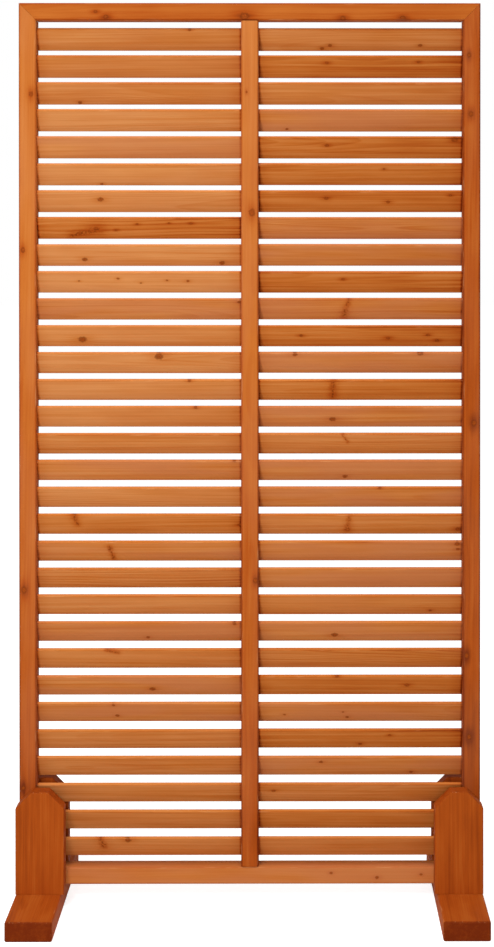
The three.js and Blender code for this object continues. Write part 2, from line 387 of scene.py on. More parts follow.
# Each knot: its place in the picture, across and down, and its radius in millimetres.
SEEN_KNOTS = {
    "left_slat_01": ((189.6, 30.0, 1.8),),
    "left_slat_03": ((80.0, 102.6, 2.6),),
    "left_slat_06": ((102.0, 184.0, 1.8),),
    "left_slat_07": ((100.6, 199.4, 3.6),),
    "left_slat_08": (
        (96.0, 228.6, 2.8),
        (80.0, 233.0, 3.0),
        (116.0, 230.0, 1.6),
        (137.0, 224.0, 1.8),
        (169.0, 223.0, 1.2),
        (191.0, 223.4, 1.6),
    ),
    "left_slat_09": ((84.6, 259.4, 3.4), (222.0, 263.0, 3.4)),
    "left_slat_10": (
        (118.0, 278.6, 1.7),
        (167.0, 280.4, 1.5),
        (188.0, 281.0, 1.9),
        (141.0, 283.0, 1.2),
        (79.0, 281.0, 1.2),
    ),
    "left_slat_11": ((239.6, 302.0, 2.6),),
    "left_slat_12": ((82.6, 339.4, 5.0),),
    "left_slat_13": ((159.0, 356.6, 5.2),),
    "left_slat_14": ((189.4, 381.0, 2.0),),
    "left_slat_15": ((195.6, 408.0, 1.8),),
    "left_slat_17": ((234.4, 461.4, 1.8),),
    "left_slat_19": ((240.4, 524.5, 2.8),),
    "left_slat_23": ((148.0, 637.2, 2.2), (234.4, 624.0, 2.2)),
    "left_slat_25": ((152.6, 689.0, 3.6),),
    "left_slat_26": ((113.6, 705.2, 2.0), (117.4, 715.6, 2.4)),
    "left_slat_31": ((128.0, 840.4, 3.6),),
    "right_slat_01": ((330.0, 45.4, 2.4), (322.0, 48.6, 2.4), (420.0, 45.4, 2.4)),
    "right_slat_02": ((327.0, 63.0, 2.2), (418.6, 62.0, 1.8)),
    "right_slat_04": ((287.0, 129.0, 1.8),),
    "right_slat_05": ((327.0, 145.4, 2.4), (454.5, 140.0, 3.6)),
    "right_slat_06": ((384.0, 169.0, 1.6),),
    "right_slat_07": ((326.4, 198.4, 2.4), (388.0, 202.0, 2.4), (450.4, 195.4, 1.8)),
    "right_slat_10": ((343.0, 279.2, 2.0),),
    "right_slat_12": (
        (301.0, 335.6, 2.2),
        (388.0, 338.2, 2.4),
        (428.0, 335.0, 2.4),
        (437.0, 340.4, 2.4),
    ),
    "right_slat_13": ((295.0, 354.6, 3.0), (420.0, 353.0, 4.2)),
    "right_slat_15": ((332.6, 419.2, 3.8),),
    "right_slat_17": ((345.0, 476.4, 3.0),),
    "right_slat_18": ((380.0, 488.4, 1.6),),
    "right_slat_19": ((458.0, 529.0, 3.2),),
    "right_slat_20": ((457.4, 544.0, 3.4), (458.0, 549.0, 2.4)),
    "right_slat_22": ((430.0, 610.4, 1.8),),
    "right_slat_23": ((334.6, 634.8, 3.8),),
    "right_slat_25": ((337.0, 676.6, 2.4), (407.0, 685.0, 3.0)),
    "right_slat_26": ((284.4, 714.6, 1.4), (347.0, 717.0, 2.2), (343.0, 712.0, 1.4)),
    "right_slat_27": ((389.6, 735.0, 1.8), (360.0, 744.0, 2.2)),
    "right_slat_28": ((321.0, 762.0, 2.4), (411.0, 771.8, 2.4)),
    "right_slat_29": ((273.6, 790.8, 2.4),),
    "left_stile": (
        (31.0, 94.0, 3.2),
        (23.0, 250.0, 3.2),
        (37.0, 431.0, 1.2),
        (24.0, 590.0, 4.2),
        (23.4, 788.0, 3.2),
    ),
    "right_stile": (
        (469.0, 55.0, 2.8),
        (471.0, 114.0, 3.4),
        (474.0, 423.0, 3.8),
        (466.6, 655.6, 3.8),
        (469.0, 737.0, 3.6),
    ),
    "centre_mullion": ((252.0, 212.5, 4.6), (255.4, 580.6, 3.4), (246.5, 92.0, 1.4)),
    "top_rail": (
        (95.5, 11.6, 2.2),
        (106.0, 16.6, 2.8),
        (244.6, 16.2, 5.4),
        (343.0, 18.0, 3.0),
        (403.0, 17.6, 2.8),
    ),
    "bottom_rail": ((331.0, 873.0, 1.8), (377.0, 877.4, 2.2), (421.0, 874.4, 1.6)),
}
KNOT_SLOTS = 6

# Knots cut lengthways, which run across a board: one end, then the other, each as above.
SEEN_SPIKES = {
    "left_slat_08": ((72.0, 235.5, 5.0), (98.0, 229.5, 9.0)),
    "left_slat_19": ((73.5, 514.5, 5.5), (77.5, 524.5, 3.5)),
    "left_slat_20": ((109.5, 547.0, 4.0), (114.0, 558.5, 3.6)),
    "left_slat_24": ((107.0, 650.8, 2.6), (118.0, 652.6, 3.2)),
    "right_slat_11": ((349.2, 299.5, 2.2), (343.8, 316.0, 6.4)),
    "right_slat_14": ((333.4, 382.5, 5.0), (332.6, 396.5, 4.6)),
    "right_slat_16": ((341.5, 433.5, 1.2), (348.0, 442.0, 2.0)),
    "right_slat_19": ((349.4, 517.0, 2.4), (347.2, 529.5, 6.2)),
    "left_slat_31": ((100.0, 838.0, 4.6), (104.0, 846.0, 6.4)),
}
NO_KNOT = (9.0, 9.0, 0.001)
FAR_FROM_KNOTS = 99.0  # in radii

# Slats that stand out from their neighbours.
PALE_SLATS = {f"left_slat_{number:02d}" for number in (4, 5, 6, 7, 9, 10, 12, 13, 14, 18)}
AMBER_SLATS = {
    "left_slat_08",
    "left_slat_19",
    *(f"right_slat_{number:02d}" for number in (2, 5, 6, 7, 10, 12, 14, 25, 27, 30)),
}
ROSY_SLATS = {
    *(f"left_slat_{number:02d}" for number in (5, 11, 17, 20, 23, 25, 26)),
    *(f"right_slat_{number:02d}" for number in (4, 8, 9, 11, 13, 15, 17, 18, 20, 21, 23, 26, 28)),
}
STRIPED_SLATS = {"left_slat_08", "left_slat_18", "left_slat_21", "right_slat_08", "right_slat_24"}

# How deep the slats' stain is, from 0, pale, to 1, deep, and what makes it deeper or paler.
SLAT_STAIN = {"left": 0.20, "right": 0.26}
SLAT_STRAY = 0.035  # how far a single slat may be from its side's stain
PALE_SLAT_LESS = 0.15
AMBER_SLAT_MORE = 0.11
SLAT_END_MORE = 0.12  # at a slat's right end
SLAT_ROSE = 0.25  # how much of the rose cast a usual slat has
ROSY_SLAT_ROSE = 0.85

# The other boards: their stain's depth where they start and where they end, their rose cast,
# and how strongly their growth rings show. Some of the depth is painted shade: the stiles and the
# mullion start deeper at their lower ends, and the rear posts are deeper than the front ones.
BOARD_STAIN_AND_SHADE = {
    # Painted shade: the stiles and the mullion run darker towards their lower ends, where the
    # light falls off.
    "left_stile": (0.78, 0.42, 0.35, 0.4),
    "right_stile": (0.78, 0.70, 0.2, 0.4),
    "centre_mullion": (0.76, 0.42, 0.3, 0.4),
    "top_rail": (0.61, 0.61, 0.0, 0.5),
    "bottom_rail": (0.43, 0.43, 0.8, 0.5),
    "front_post": (0.75, 0.75, 0.0, 0.6),
    # Painted shade: the rear posts are darker than the front ones because they stand in shade
    # behind the panel.
    "rear_post": (0.82, 0.82, 0.0, 0.6),
    "foot": (0.72, 0.72, 0.0, 0.6),
}
POST_END_STAIN = 0.15  # a post's end grain, where 1 is as dark as the other boards'

# Painted shade next to a joint, where a slat meets a stile or the mullion: how far from the joint
# it reaches, in metres, and how much darker it makes the wood.
JOINT_PAINTED_SHADE = ((0.0055, 0.5), (0.032, 0.09))


class Board:
    """A board's own axes: along it, across its face and through it, from one corner."""

    def __init__(self, low, high, along, across, placement=None):
        self.turn = Matrix((along, across, along.cross(across)))
        ends = [self.turn @ Vector(low), self.turn @ Vector(high)]
        self.low = Vector([min(pair) for pair in zip(*ends)])
        self.size = Vector([max(pair) for pair in zip(*ends)]) - self.low
        self.placement = placement or Matrix.Identity(4)

    def own(self, points):
        """Modelled points in the board's own axes."""
        return points @ np.array(self.turn).T - np.array(self.low)

    def seen_at(self, studio, x, y):
        """Where a pixel of the picture meets the board's front face, along and across it."""
        start, way = picture_ray(studio, x, y)
        inverse = self.placement.inverted()
        own_start = self.turn @ (inverse @ start) - self.low
        own_way = self.turn @ (inverse.to_3x3() @ way)
        face = self.size.z if own_way.z < 0 else 0.0
        hit = own_start + own_way * ((face - own_start.z) / own_way.z)
        return hit.x, hit.y


def picture_ray(studio, x, y):
    """The camera's place and the direction in which it sees a pixel of the picture."""
    pixels = studio.lens / SENSOR * PICTURE_HEIGHT
    middle_x = PICTURE_WIDTH / 2 - studio.shift[0] * PICTURE_HEIGHT
    middle_y = PICTURE_HEIGHT / 2 + studio.shift[1] * PICTURE_HEIGHT
    way = Vector(((x - middle_x) / pixels, (middle_y - y) / pixels, -1))
    return Vector(studio.camera_place), camera_turn(studio).to_matrix() @ way


class Grain:
    """Where a board was sawn from its trunk, and how it took the stain, with painted shade
    included in the depth of some boards.
    """

    def __init__(self, name, depth, end_depth, rose, figure=None):
        chance = random.Random("grain " + name)
        self.name = name
        self.start = chance.uniform(0, 40)
        self.pith_across = chance.uniform(-0.05, 0.05)
        self.pith_depth = chance.choice((-1, 1)) * chance.uniform(0.018, 0.085)
        self.slope_across = chance.uniform(-0.012, 0.012)
        self.slope_depth = chance.uniform(-0.012, 0.012)
        self.figure = chance.uniform(0.15, 0.7) if figure is None else figure
        self.depth = depth
        self.end_depth = end_depth
        self.rose = rose
        self.end_stain = 1.0  # how dark the end grain turned
        self.housing = -1.0  # how much of each end is out of sight in a joint
        self.chance = chance


def slat_grain(name):
    """A slat's grain: deeper towards its right end, and single slats stand out."""
    depth = SLAT_STAIN[name.split("_")[0]]
    depth += random.Random("stain " + name).uniform(-SLAT_STRAY, SLAT_STRAY)
    rose = SLAT_ROSE
    if name in PALE_SLATS:
        depth -= PALE_SLAT_LESS
    if name in AMBER_SLATS:
        depth += AMBER_SLAT_MORE
        rose = 0.0
    if name in ROSY_SLATS:
        rose = ROSY_SLAT_ROSE
    figure = 1.0 if name in STRIPED_SLATS else None
    grain = Grain(name, depth, depth + SLAT_END_MORE, rose, figure)
    grain.housing = SLAT_HOUSING
    return grain


def write_attribute(mesh, name, kind, domain, values):
    """Writes one attribute of a mesh from a list or array."""
    attribute = mesh.attributes.new(name, kind, domain)
    field = "vector" if kind == "FLOAT_VECTOR" else "value"
    attribute.data.foreach_set(field, np.asarray(values, np.float32).ravel())


def edge_nearness(own, size, radius, eased_ends):
    """How close a point is to a rounded edge, from 0 at a face to 1 on the edge's middle."""
    from_faces = np.minimum(own, size - own)
    if eased_ends == "none":
        from_faces[:, 0] = np.inf
    if eased_ends == "far":
        from_faces[:, 0] = size[0] - own[:, 0]
    second = np.sort(from_faces, axis=1)[:, 1]
    return np.clip((1 - second / radius) / 0.7, 0, 1)


def dress_board(piece, board, grain, radius, studio, eased_ends="none"):
    """Gives a board the attributes that its wood reads."""
    mesh = piece.data
    points = np.empty(len(mesh.vertices) * 3, np.float32)
    mesh.vertices.foreach_get("co", points)
    own = board.own(points.reshape(-1, 3))
    size = np.array(board.size)
    middle = own - size / 2
    trunk = middle.copy()
    trunk[:, 0] += grain.start
    trunk[:, 1] += grain.slope_across * middle[:, 0] - grain.pith_across
    trunk[:, 2] += grain.slope_depth * middle[:, 0] - grain.pith_depth
    stain = np.empty((len(own), 3))
    # Depth from start to end, including the painted shade that some boards carry.
    stain[:, 0] = grain.depth + (grain.end_depth - grain.depth) * own[:, 0] / size[0]
    stain[:, 1] = grain.rose
    stain[:, 2] = grain.figure
    write_attribute(mesh, "board", "FLOAT_VECTOR", "POINT", own)
    write_attribute(mesh, "trunk", "FLOAT_VECTOR", "POINT", trunk)
    write_attribute(mesh, "stain", "FLOAT_VECTOR", "POINT", stain)
    edge = edge_nearness(own, size, radius, eased_ends)
    write_attribute(mesh, "edge", "FLOAT", "POINT", edge)
    housed = np.zeros((len(own), 3))
    housed[:, 0] = own[:, 0] - grain.housing
    housed[:, 1] = size[0] - grain.housing - own[:, 0]
    write_attribute(mesh, "housed", "FLOAT_VECTOR", "POINT", housed)
    for slot, knot in enumerate(board_knots(board, grain, studio)):
        write_attribute(mesh, f"knot_{slot}", "FLOAT_VECTOR", "POINT", [knot] * len(own))
    for end, knot in zip(("start", "finish"), spike_knot(board, grain.name, studio)):
        write_attribute(mesh, f"spike_{end}", "FLOAT_VECTOR", "POINT", [knot] * len(own))
    along = board.turn.row[0]
    ends = [abs(face.normal.dot(along)) * grain.end_stain for face in mesh.polygons]
    write_attribute(mesh, "end_grain", "FLOAT", "FACE", ends)


def board_knots(board, grain, studio):
    """The knots that the picture shows on a board, or none to three on one that it hides."""
    knots = []
    for x, y, radius in SEEN_KNOTS.get(grain.name, ()):
        knots.append((*board.seen_at(studio, x, y), radius / 1000))
    if grain.name.endswith(("rear_post", "foot")):
        for _ in range(grain.chance.randint(1, 3)):
            along = grain.chance.uniform(0.1, 0.8) * board.size.x
            across = grain.chance.uniform(0.15, 0.85) * board.size.y
            knots.append((along, across, grain.chance.uniform(0.002, 0.004)))
    return knots + [NO_KNOT] * (KNOT_SLOTS - len(knots))


def spike_knot(board, name, studio):
    """Both ends of the spike knot that the picture shows on a board, if it shows one."""
    if name not in SEEN_SPIKES:
        return NO_KNOT, NO_KNOT
    ends = SEEN_SPIKES[name]
    return [(*board.seen_at(studio, x, y), radius / 1000) for x, y, radius in ends]


def finish_piece(piece, slot, nodes):
    """Material, body and the nodes that a board or a screw stands for."""
    piece.data.materials.clear()
    piece.data.materials.append(bpy.data.materials[FINISH_OF[slot]])
    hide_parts(*nodes)
    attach(piece, BODY)


# ---- Materials ----

# The record's material slots, and the finish that a piece in each slot wears.
FINISH_OF = {
    "frame_wood": "stained_frame",
    "slat_wood": "stained_slats",
    "stand_wood": "stained_stand",
    "screw_steel": "zinc_plated_steel",
}


# What each kind of board gives the wood's pattern: the rings' spacing is in millimetres.
WOOD_INPUTS = ("Ring spacing", "Ring contrast", "Streaks", "Edge stain")
WOOD_LOOKS = {
    "frame_wood": (2.6, 0.10, 0.28, 0.22),
    "slat_wood": (2.4, 0.22, 0.75, 0.30),
    "stand_wood": (3.2, 0.08, 0.26, 0.05),
}


class Sketch:
    """Writes shader nodes as formulas. Each call returns the new node's output socket."""

    def __init__(self, tree):
        self.tree = tree
        self.count = 0

    def node(self, kind, values=(), **settings):
        made = self.tree.nodes.new(kind)
        made.location = (220 * (self.count // 8), -190 * (self.count % 8))
        self.count += 1
        for key, value in settings.items():
            setattr(made, key, value)
        for key, value in dict(values).items():
            self.feed(made.inputs[key], value)
        return made

    def feed(self, socket, value):
        if isinstance(value, bpy.types.NodeSocket):
            self.tree.links.new(value, socket)
        else:
            socket.default_value = value

    def attribute(self, name, output="Vector"):
        return self.node("ShaderNodeAttribute", attribute_name=name).outputs[output]

    def math(self, operation, *values, clamp=False):
        made = self.node("ShaderNodeMath", enumerate(values), operation=operation)
        made.use_clamp = clamp
        return made.outputs[0]

    def add(self, total, value, scale, clamp=False):
        """total + value * scale."""
        return self.math("MULTIPLY_ADD", value, scale, total, clamp=clamp)

    def around_zero(self, noise):
        """A noise's value less its middle."""
        return self.math("SUBTRACT", noise, 0.5)

    def bell(self, distance, width):
        """1 at no distance, and close to 0 from twice a width on."""
        square = self.math("POWER", self.math("DIVIDE", distance, width), 2.0)
        return self.math("EXPONENT", self.math("MULTIPLY", square, -1.0))

    def vector(self, operation, *values):
        made = self.node("ShaderNodeVectorMath", enumerate(values), operation=operation)
        single = operation in ("LENGTH", "DOT_PRODUCT")
        return made.outputs["Value" if single else "Vector"]

    def split(self, vector):
        return self.node("ShaderNodeSeparateXYZ", {0: vector}).outputs

    def join(self, x, y, z):
        return self.node("ShaderNodeCombineXYZ", {0: x, 1: y, 2: z}).outputs[0]

    def noise(self, place, detail=2.0, roughness=0.5, output="Fac"):
        values = {"Vector": place, "Scale": 1.0, "Detail": detail, "Roughness": roughness}
        return self.node("ShaderNodeTexNoise", values).outputs[output]

    def stretch(self, place, along, across):
        """A place scaled along the trunk and across it, per millimetre."""
        return self.vector("MULTIPLY", place, (1000 * along, 1000 * across, 1000 * across))

    def step(self, value, low, high, first=0.0, last=1.0):
        values = {"Value": value, 1: low, 2: high, 3: first, 4: last}
        return self.node("ShaderNodeMapRange", values, interpolation_type="SMOOTHSTEP").outputs[0]

    def ramp(self, value, stops):
        made = self.node("ShaderNodeValToRGB", {0: value})
        points = made.color_ramp.elements
        while len(points) < len(stops):
            points.new(0.5)
        for point, (place, colour) in zip(points, stops):
            point.position = place
            point.color = (*colour, 1.0)
        return made.outputs["Color"]

    def mix(self, share, first, second, blend="MIX"):
        made = self.node("ShaderNodeMix", data_type="RGBA", blend_type=blend)
        self.feed(made.inputs[0], share)
        self.feed(made.inputs[6], first if hasattr(first, "links") else (*first, 1.0))
        self.feed(made.inputs[7], second if hasattr(second, "links") else (*second, 1.0))
        return made.outputs[2]


def spike_field(draw, board, ragged):
    """A spike knot: its wood, strongest along its middle, and its halo."""
    bend = draw.noise(draw.stretch(board, 0.13, 0.13), detail=1.0, output="Color")
    bend = draw.vector("SUBTRACT", bend, (0.5, 0.5, 0.5))
    place = draw.vector("MULTIPLY_ADD", bend, (0.009, 0.003, 0.0), board)
    start = draw.attribute("spike_start")
    finish = draw.attribute("spike_finish")
    offset = draw.vector("MULTIPLY", draw.vector("SUBTRACT", place, start), (1.0, 1.0, 0.0))
    axis = draw.vector("MULTIPLY", draw.vector("SUBTRACT", finish, start), (1.0, 1.0, 0.0))
    along = draw.vector("DOT_PRODUCT", offset, axis)
    whole = draw.vector("DOT_PRODUCT", axis, axis)
    share = draw.math("DIVIDE", along, whole, clamp=True)
    nearest_point = draw.vector("MULTIPLY", axis, draw.join(share, share, share))
    distance = draw.vector("LENGTH", draw.vector("SUBTRACT", offset, nearest_point))
    radius = draw.math("MULTIPLY", draw.split(finish)[2], share)
    radius = draw.add(radius, draw.split(start)[2], draw.math("SUBTRACT", 1.0, share))
    near = draw.math("DIVIDE", distance, radius)
    patchy = draw.step(ragged, 0.3, 0.65, 0.35, 1.0)
    return draw.math("MULTIPLY", draw.step(near, 1.9, 0.1), patchy), draw.bell(near, 2.4)


def knot_fields(draw, board):
    """How far the knots push the grain aside, their wood, rims and halos, and spike knots."""
    push = 0.0
    nearest = FAR_FROM_KNOTS
    ragged = draw.noise(draw.stretch(board, 0.28, 0.28), detail=2.0)
    wobble = draw.add(0.5, ragged, 0.9)
    spike, halo = spike_field(draw, board, ragged)
    for slot in range(KNOT_SLOTS):
        knot = draw.attribute(f"knot_{slot}")
        radius = draw.split(knot)[2]
        offset = draw.vector("SUBTRACT", board, knot)
        flat = draw.vector("MULTIPLY", offset, (0.8, 1.0, 0.0))
        near = draw.math("MULTIPLY", draw.vector("LENGTH", flat), wobble)
        nearest = draw.math("MINIMUM", nearest, draw.math("DIVIDE", near, radius))
        long_way = draw.vector("MULTIPLY", offset, (0.5, 1.0, 0.0))
        reach = draw.math("DIVIDE", draw.vector("LENGTH", long_way), radius)
        bell = draw.bell(reach, 2.3)
        halo = draw.math("MAXIMUM", halo, bell)
        push = draw.add(push, draw.math("MULTIPLY", draw.split(offset)[1], bell), -0.8)
    heart = draw.step(nearest, 1.5, 0.5)
    rim = draw.math("MULTIPLY", draw.step(nearest, 0.5, 0.95), draw.step(nearest, 1.55, 1.05))
    return push, heart, rim, halo, spike


def wood_group(colours):
    """The pattern of stained softwood, with painted shade along its edges and next to its joints:
    colour, roughness and bump height.
    """
    tree = bpy.data.node_groups.new("stained_softwood", "ShaderNodeTree")
    face = tree.interface
    for name in WOOD_INPUTS:
        face.new_socket(name, in_out="INPUT", socket_type="NodeSocketFloat")
    face.new_socket("Color", in_out="OUTPUT", socket_type="NodeSocketColor")
    face.new_socket("Roughness", in_out="OUTPUT", socket_type="NodeSocketFloat")
    face.new_socket("Height", in_out="OUTPUT", socket_type="NodeSocketFloat")
    draw = Sketch(tree)
    given = draw.node("NodeGroupInput").outputs
    board = draw.attribute("board")
    trunk = draw.attribute("trunk")
    stain = draw.split(draw.attribute("stain"))
    edge = draw.attribute("edge", "Fac")
    end_grain = draw.attribute("end_grain", "Fac")

    push, heart, rim, halo, spike = knot_fields(draw, board)

    # Growth rings: distance from the pith, bent by slow waves and pushed aside by knots.
    waves = draw.noise(draw.stretch(trunk, 0.003, 0.012), detail=1.0, output="Color")
    waves = draw.vector("SUBTRACT", waves, (0.5, 0.5, 0.5))
    bent = draw.vector("MULTIPLY_ADD", waves, (0.0, 0.012, 0.012), trunk)
    _, side, deep = draw.split(bent)
    side = draw.math("ADD", side, push)
    radius = draw.vector("LENGTH", draw.join(0.0, side, deep))
    millimetres = draw.math("MULTIPLY", radius, 1000.0)
    slow = draw.noise(draw.join(draw.math("MULTIPLY", millimetres, 0.11), 3.7, 0.0), detail=1.0)
    turns = draw.add(draw.math("DIVIDE", millimetres, given["Ring spacing"]), slow, 2.6)
    latewood = draw.ramp(
        draw.math("FRACT", turns),
        (
            (0.0, (0.0, 0.0, 0.0)),
            (0.45, (0.15, 0.15, 0.15)),
            (0.8, (0.85, 0.85, 0.85)),
            (0.93, (1.0, 1.0, 1.0)),
            (1.0, (0.05, 0.05, 0.05)),
        ),
    )
    lines = draw.math("MULTIPLY", latewood, stain[2])

    # Fibres, stain streaks, slow blotches and short resin flecks.
    fibres = draw.noise(draw.stretch(trunk, 0.006, 0.8), detail=2.0, roughness=0.6)
    streaks = draw.noise(draw.stretch(trunk, 0.0022, 0.16), detail=3.0, roughness=0.55)
    blotches = draw.noise(draw.stretch(trunk, 0.008, 0.03), detail=2.0)
    flecks = draw.step(draw.noise(draw.stretch(trunk, 0.06, 1.1), detail=1.0), 0.68, 0.8)

    # The depth of the stain, from 0, pale, to 1, deep, with painted shade added along the edges
    # and next to the joints.
    joint = draw.math("MINIMUM", *draw.split(draw.attribute("housed"))[:2])
    tone = draw.add(stain[0], lines, given["Ring contrast"])
    tone = draw.add(tone, draw.around_zero(fibres), 0.12)
    tone = draw.add(tone, draw.around_zero(streaks), given["Streaks"])
    tone = draw.add(tone, draw.around_zero(blotches), 0.3)
    tone = draw.add(tone, flecks, 0.06)
    tone = draw.add(tone, halo, 0.24)
    # Along the rounded edges the wood is darker: partly stain that gathers there, and partly
    # painted shade.
    tone = draw.add(tone, edge, given["Edge stain"])
    # Painted shade: darker close to the joints at the slats' ends, a dark line at the joint and a
    # faint shade further out.
    for reach, amount in JOINT_PAINTED_SHADE:
        tone = draw.add(tone, draw.step(joint, reach, 0.0), amount)
    tone = draw.add(tone, end_grain, 0.25, clamp=True)
    base = draw.ramp(
        tone,
        (
            (0.0, colours.stain_pale),
            (0.25, colours.stain_honey),
            (0.5, colours.stain_amber),
            (0.75, colours.stain_russet),
            (1.0, colours.stain_deep),
        ),
    )
    rose_patch = draw.noise(draw.stretch(trunk, 0.005, 0.03), detail=1.0)
    rose = draw.math("MULTIPLY", stain[1], draw.step(rose_patch, 0.25, 0.7), clamp=True)
    base = draw.mix(draw.math("MULTIPLY", rose, 0.6), base, colours.rose_cast)

    # Knots: a heart with a dark rim, or a red spike across the board.
    grown = draw.step(draw.noise(draw.stretch(board, 0.7, 0.7), detail=1.0), 0.35, 0.65)
    heart_colour = draw.mix(grown, colours.knot_heart, colours.stain_russet)
    base = draw.mix(draw.math("MULTIPLY", heart, 0.9), base, heart_colour)
    base = draw.mix(draw.math("MULTIPLY", rim, 0.36), base, colours.knot_rim)
    spike_colour = draw.mix(draw.step(spike, 0.55, 1.0), colours.stain_russet, colours.knot_heart)
    base = draw.mix(draw.math("MULTIPLY", spike, 0.9), base, spike_colour)

    # The stain is rubbed thin in places along the edges.
    rubbed = draw.step(draw.noise(draw.stretch(trunk, 0.02, 0.3), detail=2.0), 0.56, 0.72)
    worn = draw.math("MULTIPLY", draw.math("MULTIPLY", edge, rubbed), 0.45)
    base = draw.mix(worn, base, colours.worn_edge)
    base = draw.mix(draw.math("MULTIPLY", end_grain, 0.45), base, colours.stain_deep)

    roughness = draw.add(0.64, fibres, 0.16)
    for part, change in ((lines, -0.05), (worn, 0.25), (heart, -0.07)):
        roughness = draw.add(roughness, part, change)
    height = draw.add(fibres, flecks, -0.6)
    draw.node("NodeGroupOutput", {"Color": base, "Roughness": roughness, "Height": height})
    return tree


def empty_material(name):
    """A new material with no nodes."""
    material = bpy.data.materials.new(name)
    material.use_nodes = True
    material.node_tree.nodes.clear()
    return material


def wood_material(name, group, look):
    """Stained softwood for one kind of board."""
    material = empty_material(name)
    draw = Sketch(material.node_tree)
    pattern = draw.node("ShaderNodeGroup", node_tree=group)
    for key, value in zip(WOOD_INPUTS, look):
        pattern.inputs[key].default_value = value
    bump = draw.node(
        "ShaderNodeBump",
        {"Strength": 0.35, "Distance": 0.0004, "Height": pattern.outputs["Height"]},
    )
    surface = draw.node(
        "ShaderNodeBsdfPrincipled",
        {
            "Base Color": pattern.outputs["Color"],
            "Roughness": pattern.outputs["Roughness"],
            "Normal": bump.outputs["Normal"],
            "Specular IOR Level": 0.05,
        },
    )
    draw.node("ShaderNodeOutputMaterial", {"Surface": surface.outputs[0]})
    return material


def screw_material(colours):
    """Zinc-plated steel with fine turning marks and dull patches."""
    material = empty_material(FINISH_OF["screw_steel"])
    draw = Sketch(material.node_tree)
    place = draw.node("ShaderNodeTexCoord").outputs["Object"]
    patches = draw.noise(draw.vector("MULTIPLY", place, (400.0, 400.0, 400.0)), detail=3.0)
    marks = draw.noise(draw.vector("MULTIPLY", place, (4000.0, 4000.0, 900.0)), detail=2.0)
    dull = draw.mix(draw.step(patches, 0.35, 0.7), colours.zinc, (0.42, 0.41, 0.37))
    bump = draw.node(
        "ShaderNodeBump", {"Strength": 0.2, "Distance": 0.00005, "Height": marks}
    )
    surface = draw.node(
        "ShaderNodeBsdfPrincipled",
        {
            "Base Color": dull,
            "Metallic": 1.0,
            "Roughness": draw.step(patches, 0.2, 0.8, 0.25, 0.5),
            "Normal": bump.outputs["Normal"],
        },
    )
    draw.node("ShaderNodeOutputMaterial", {"Surface": surface.outputs[0]})
    return material


def make_materials(scene):
    """The four finishes of the screen."""
    group = wood_group(scene.screen_colours)
    for slot, look in WOOD_LOOKS.items():
        wood_material(FINISH_OF[slot], group, look)
    screw_material(scene.screen_colours)


# ---- Cutting shapes ----


def slat_turn(sizes):
    """The turn about X that tips a slat's width, along +Y, up and to the front."""
    return Matrix.Rotation(math.pi - sizes.slat_tilt, 4, "X")


def row_middle(name):
    """The middle of one row of slats."""
    low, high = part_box(name)
    return (low + high) / 2


def housing_cutter(sizes, x):
    """One angled slot for each slat row, to both sides of a place across the panel."""
    play = sizes.slat_play + HOUSING_GAP
    half_width = sizes.slat_width / 2 + play
    half_thickness = sizes.slat_thickness / 2 + play
    cutter = add_block(
        "housing_cutter",
        (x - HOUSING_REACH, -half_width, -half_thickness),
        (x + HOUSING_REACH, half_width, half_thickness),
    )
    lowest = row_middle(SLAT_ROWS[-1])
    second = row_middle(SLAT_ROWS[-2])
    cutter.data.transform(Matrix.Translation((0, lowest.y, lowest.z)) @ slat_turn(sizes))
    apply_modifier(
        cutter,
        "ARRAY",
        count=len(SLAT_ROWS),
        use_relative_offset=False,
        use_constant_offset=True,
        constant_offset_displace=(0, 0, second.z - lowest.z),
    )
    return cutter


def screw_head_place(name):
    """Where a screw's head lies, and which way its tip points, from its node's box."""
    low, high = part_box(name)
    size = high - low
    axis = max(range(3), key=lambda index: size[index])
    points = np.array([v.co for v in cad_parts[name].data.vertices])
    middle = (low + high) / 2
    from_axis = np.delete(points - np.array(middle), axis, axis=1)
    widest = points[np.argmax(np.hypot(from_axis[:, 0], from_axis[:, 1])), axis]
    head = middle.copy()
    tip = middle.copy()
    head_is_low = abs(widest - low[axis]) < abs(widest - high[axis])
    head[axis] = low[axis] if head_is_low else high[axis]
    tip[axis] = high[axis] if head_is_low else low[axis]
    return head, (tip - head).normalized(), size[axis]


def narrow_down(level, next_level, share):
    """Extrudes the selected underside down to a level, and scales it there."""
    step = (0, 0, next_level - level)
    bpy.ops.mesh.extrude_region_move(TRANSFORM_OT_translate={"value": step})
    bpy.ops.transform.resize(value=(share, share, 1), center_override=(0, 0, next_level))


def sink_cutter(sizes, name):
    """The countersunk hole of one screw, opening up through the wood's surface."""
    head, inward, length = screw_head_place(name)
    rim = sizes.screw_head + SINK_GAP
    deselect()
    bpy.ops.mesh.primitive_cylinder_add(
        vertices=40, radius=rim, depth=SINK_RISE, location=(0, 0, SINK_RISE / 2)
    )
    cutter = bpy.context.active_object
    apply_place(cutter)
    edit_underside(cutter)
    narrow_down(0, -SCREW_HEAD_DEPTH, (SCREW_RADIUS + SINK_GAP) / rim)
    narrow_down(-SCREW_HEAD_DEPTH, -length, 1)
    bpy.ops.object.mode_set(mode="OBJECT")
    cutter.data.transform(Matrix.Translation(head) @ turned_to(-inward))
    return cutter


def drill(sizes, piece, names):
    """Cuts the countersunk holes of some screws from a piece."""
    for name in names:
        cut_away(piece, sink_cutter(sizes, name))


# ---- Pieces ----


class SCREEN_OT_materials(Operator):
    """Make the stained wood and steel finishes"""

    bl_idname = "garden_screen.materials"
    bl_label = "Finishes"

    def execute(self, context):
        make_materials(context.scene)
        return {"FINISHED"}


